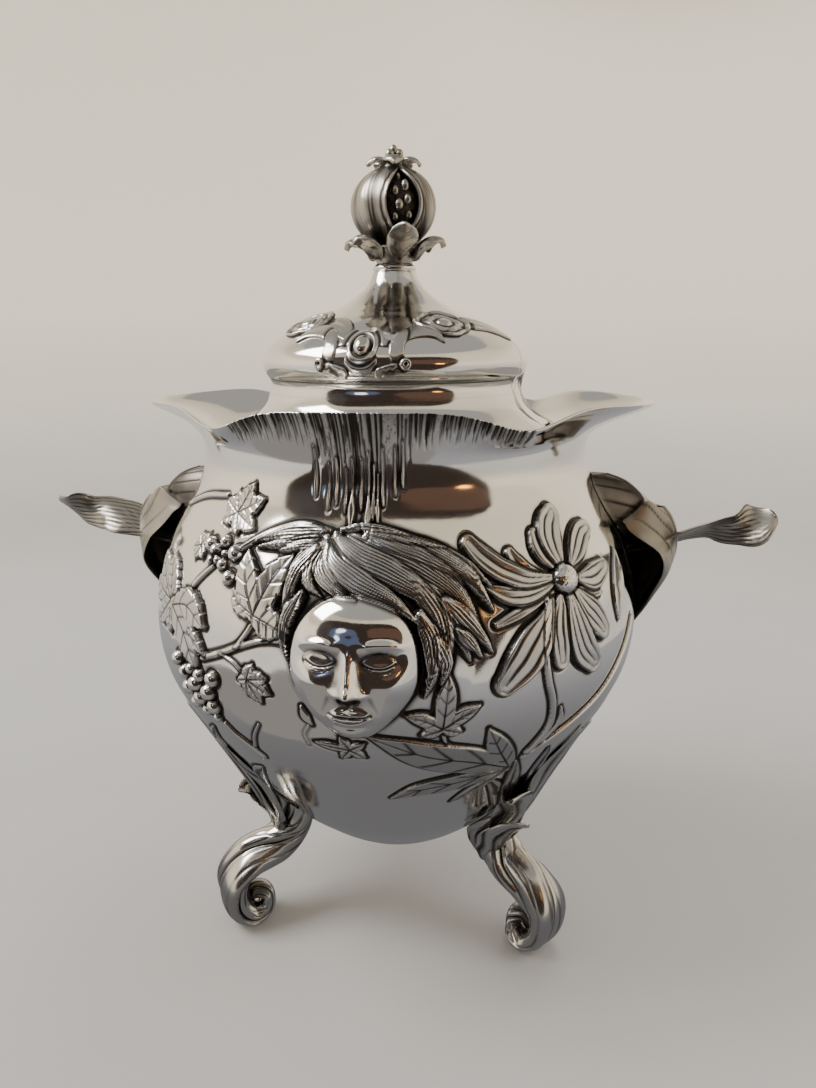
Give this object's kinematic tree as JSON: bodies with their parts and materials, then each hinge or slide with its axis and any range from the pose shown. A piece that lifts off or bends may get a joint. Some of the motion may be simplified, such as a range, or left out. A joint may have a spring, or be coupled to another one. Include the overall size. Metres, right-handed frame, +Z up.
{
  "type": "lidded serving bowl",
  "caption": "Art Nouveau silver-plated lidded bowl on three scroll legs, with leaf handles, repousse vine, flower and mask relief, and a lift-off lid with a pomegranate finial.",
  "frame": {"origin": "on the table, under the bowl's axis", "axes": "+Z up, -Y towards the front with the mask, +X towards the handle beside the flower"},
  "size_m": [0.3636, 0.2492, 0.38],
  "materials": {
    "polished_silver": "polished",
    "cast_silver": "polished on the high points, oxidised in the recesses",
    "dark_silver": "oxidised",
    "brass": "plain"
  },
  "bodies": {
    "bowl": {"bowl_shell": "polished_silver", "leg_front_left": "cast_silver", "leg_front_left_leaf": "cast_silver", "leg_front_right": "cast_silver", "leg_front_right_leaf": "cast_silver", "leg_rear": "cast_silver", "leg_rear_leaf": "cast_silver", "handle_left_blade": "cast_silver", "handle_left_sheath": "cast_silver", "handle_left_bract": "dark_silver", "handle_right_blade": "cast_silver", "handle_right_sheath": "cast_silver", "handle_right_bract": "dark_silver"},
    "lid": {"lid_shell": "polished_silver", "lid_emblem_front": "cast_silver", "lid_emblem_rear": "cast_silver", "lid_poppy_front_left": "cast_silver", "lid_poppy_front_right": "cast_silver", "lid_poppy_rear_right": "cast_silver", "lid_poppy_rear_left": "cast_silver", "finial_collar": "polished_silver", "finial_calyx": "cast_silver", "finial_husk": "dark_silver", "finial_seeds": "polished_silver", "finial_crown": "cast_silver", "finial_stud": "brass", "finial_nut": "brass"}
  },
  "joints": [
    {"name": "lid_lift", "type": "slide", "parent": "bowl", "child": "lid", "axis": [0, 0, 1], "range_m": [0, 0.12]}
  ]
}
